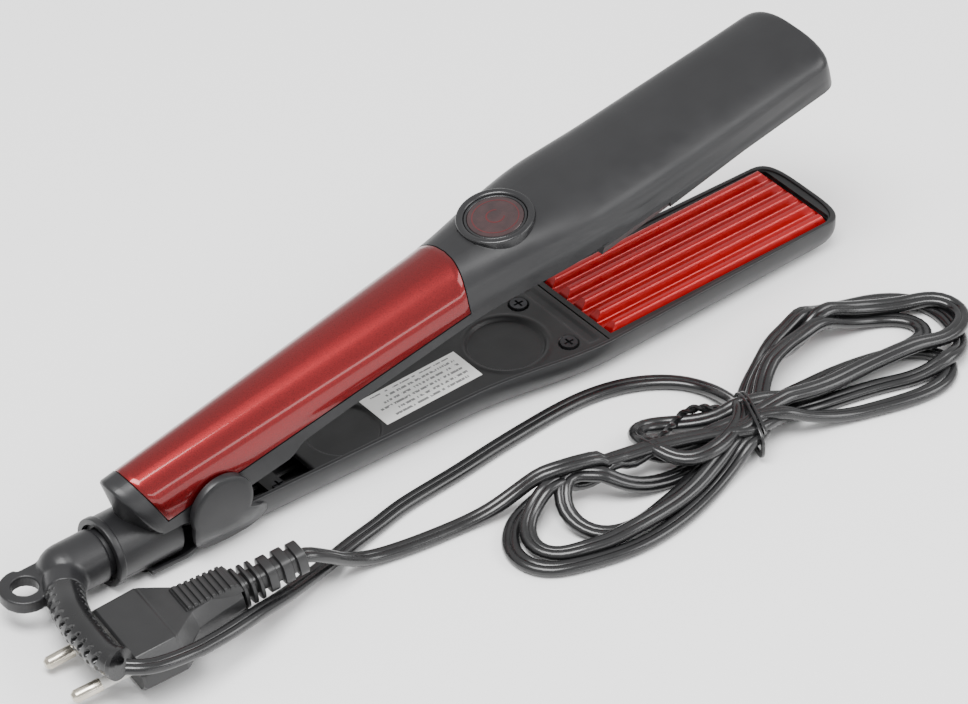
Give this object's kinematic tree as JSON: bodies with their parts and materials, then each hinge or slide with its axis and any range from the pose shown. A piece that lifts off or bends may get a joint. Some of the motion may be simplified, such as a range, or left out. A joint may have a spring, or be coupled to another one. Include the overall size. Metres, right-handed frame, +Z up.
{
  "type": "hair crimper",
  "caption": "Handheld hair crimper: two hinged tapering arms with interlocking ribbed heating plates, push button, swivelling cord entry with hanging loop, and a mains cord with plug.",
  "frame": {"origin": "on the rest surface, under the hinge axis, on the arms' mid-plane", "axes": "+X from the hinge to the nose, +Z up from the rest surface, Y across the arms"},
  "size_m": [0.3161, 0.1141, 0.0784],
  "materials": {
    "black_plastic": "matt charcoal",
    "inner_plastic": "matt charcoal",
    "frame_plastic": "matt dark grey",
    "gloss_black": "gloss",
    "smoky_lens": "dark smoky gloss",
    "red_metal": "metallic gloss red",
    "red_coating": "satin red heat coating",
    "label_paper": "matt off-white",
    "dark_screw": "blackened",
    "spring_steel": "bright",
    "heater_ceramic": "unglazed",
    "fuse_brass": "bright",
    "pale_plastic": "matt",
    "lead_insulation": "silicone sleeving",
    "plug_plastic": "fine satin",
    "pin_metal": "nickelled",
    "cord_plastic": "satin PVC",
    "board_green": "satin",
    "led_red": "clear red"
  },
  "bodies": {
    "root": {"lower_shell": "black_plastic", "socket_cap": "black_plastic", "lower_inner_cover": "inner_plastic", "lower_cover_screws": "dark_screw", "lower_heater_frame": "frame_plastic", "lower_crimp_plate": "red_coating", "lower_heater": "heater_ceramic", "lower_heater_clip": "spring_steel", "thermal_fuse": "fuse_brass", "rating_label": "label_paper", "hinge_pin": "spring_steel", "opening_spring": "spring_steel", "cord_clamp": "inner_plastic", "clamp_screws": "dark_screw", "swivel_bush": "inner_plastic", "lower_leads": "lead_insulation", "plug_body": "plug_plastic", "plug_pins": "pin_metal", "pin_sleeves": "pale_plastic", "plug_relief": "plug_plastic", "cord_lead": "cord_plastic", "cord_plug_end": "cord_plastic", "cord_hank": "cord_plastic", "twist_tie": "cord_plastic"},
    "upper_arm": {"upper_shell": "black_plastic", "handle_shell": "red_metal", "upper_inner_cover": "inner_plastic", "upper_cover_screws": "dark_screw", "upper_heater_frame": "frame_plastic", "upper_crimp_plate": "red_coating", "upper_heater": "heater_ceramic", "upper_heater_clip": "spring_steel", "control_board": "board_green", "push_switch": "inner_plastic", "status_led": "led_red", "upper_leads": "lead_insulation", "button_bezel": "gloss_black"},
    "power_button": {"button_cap": "gloss_black", "button_lens": "smoky_lens"},
    "swivel": {"swivel_elbow": "black_plastic", "cord_relief": "cord_plastic", "relief_collar": "cord_plastic"}
  },
  "joints": [
    {"name": "arm_hinge", "type": "hinge", "parent": "root", "child": "upper_arm", "pos_m": [0, 0, 0.0176], "axis": [0, 1, 0], "range_deg": [0, 12.4], "stiffness_Nm_per_rad": 0.6, "springref_deg": -28.65},
    {"name": "button_press", "type": "slide", "parent": "upper_arm", "child": "power_button", "axis": [0.1547, 0, -0.988], "range_m": [0, 0.0014], "stiffness_N_per_m": 900, "springref_m": -0.0012},
    {"name": "cord_swivel", "type": "hinge", "parent": "root", "child": "swivel", "pos_m": [-0.04, 0, 0.0104], "axis": [-1, 0, 0], "range_deg": [0, 100]}
  ]
}
